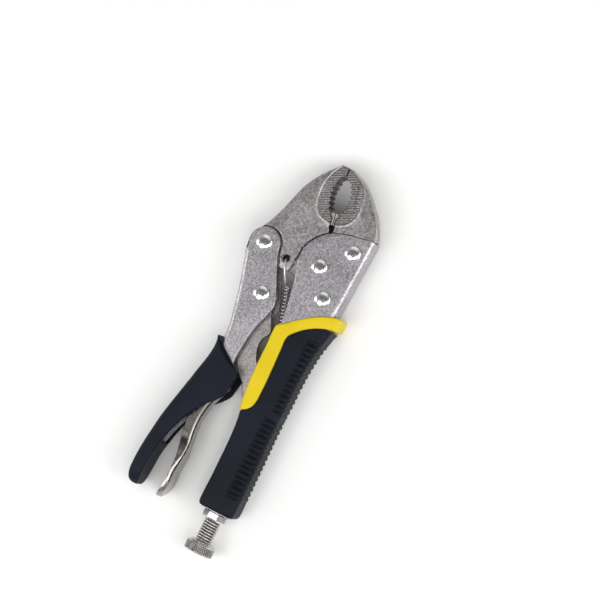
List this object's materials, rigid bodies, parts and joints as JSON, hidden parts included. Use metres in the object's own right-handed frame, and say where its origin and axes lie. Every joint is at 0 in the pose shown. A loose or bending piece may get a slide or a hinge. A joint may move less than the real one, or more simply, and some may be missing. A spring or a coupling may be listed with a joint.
{
  "type": "locking pliers",
  "caption": "Curved-jaw locking pliers with toggle link, release lever, adjusting screw and moulded grips, clamped shut and lying flat",
  "frame": {"origin": "middle of the underside of the whole tool's box, lying flat", "axes": "+X along the adjusting screw towards the jaws, +Y from the fixed handle to the moving handle, +Z across the tool's width"},
  "size_m": [0.1844, 0.0574, 0.0182],
  "materials": {
    "handle_steel": "dull pearl nickel plate on pressed steel",
    "link_steel": "dull pearl nickel plate",
    "jaw_steel": "dull pearl nickel plate on forged steel",
    "rivet_steel": "bright plated domed heads",
    "lever_steel": "polished nickel",
    "bush_steel": "bright plated",
    "screw_steel": "plated, turned and knurled",
    "spring_wire": "drawn wire",
    "grip_rubber": "navy black, satin",
    "trim_rubber": "yellow, satin"
  },
  "bodies": {
    "fixed_side": {"fixed_handle": "handle_steel", "fixed_jaw": "jaw_steel", "fixed_jaw_front_rivet": "rivet_steel", "fixed_jaw_rear_rivet": "rivet_steel", "jaw_pivot_rivet": "rivet_steel", "fixed_grip": "grip_rubber", "fixed_grip_trim": "trim_rubber", "screw_bush": "bush_steel", "jaw_spring": "spring_wire"},
    "jaw": {"movable_jaw": "jaw_steel", "handle_pivot_rivet": "rivet_steel"},
    "handle": {"movable_handle": "handle_steel", "movable_grip": "grip_rubber", "link_pivot_rivet": "rivet_steel", "lever_pin": "rivet_steel"},
    "link": {"toggle_link": "link_steel"},
    "lever": {"release_lever": "lever_steel"},
    "screw": {"adjusting_screw": "screw_steel"},
    "knob": {"knurled_knob": "screw_steel"}
  },
  "joints": [
    {"name": "jaw_opening", "type": "hinge", "parent": "fixed_side", "child": "jaw", "pos_m": [0.04645, -0.00832, 0.0091], "axis": [0, 0, 1], "range_deg": [0, 24], "deforming": ["jaw_spring"]},
    {"name": "handle_opening", "type": "hinge", "parent": "jaw", "child": "handle", "pos_m": [0.0456, 0.01928, 0.0091], "axis": [0, 0, -1], "range_deg": [0, 80]},
    {"name": "link_swing", "type": "hinge", "parent": "handle", "child": "link", "pos_m": [0.02445, 0.01008, 0.0091], "axis": [0, 0, 1], "range_deg": [0, 76]},
    {"name": "lever_squeeze", "type": "hinge", "parent": "handle", "child": "lever", "pos_m": [-0.01655, 0.01218, 0.0091], "axis": [0, 0, -1], "range_deg": [0, 8]},
    {"name": "screw_advance", "type": "slide", "parent": "fixed_side", "child": "screw", "axis": [-1, 0, 0], "range_m": [0, 0.01]},
    {"name": "knob_turn", "type": "hinge", "parent": "screw", "child": "knob", "pos_m": [-0.08855, -0.01517, 0.0091], "axis": [-1, 0, 0], "range_deg": [0, 2880]}
  ],
  "couplings": [
    {"joint": "jaw_opening", "follows": "handle_opening", "ratio": 0.3},
    {"joint": "link_swing", "follows": "handle_opening", "ratio": 0.95},
    {"joint": "screw_advance", "follows": "knob_turn", "m_per_rad": 0.00019894}
  ]
}
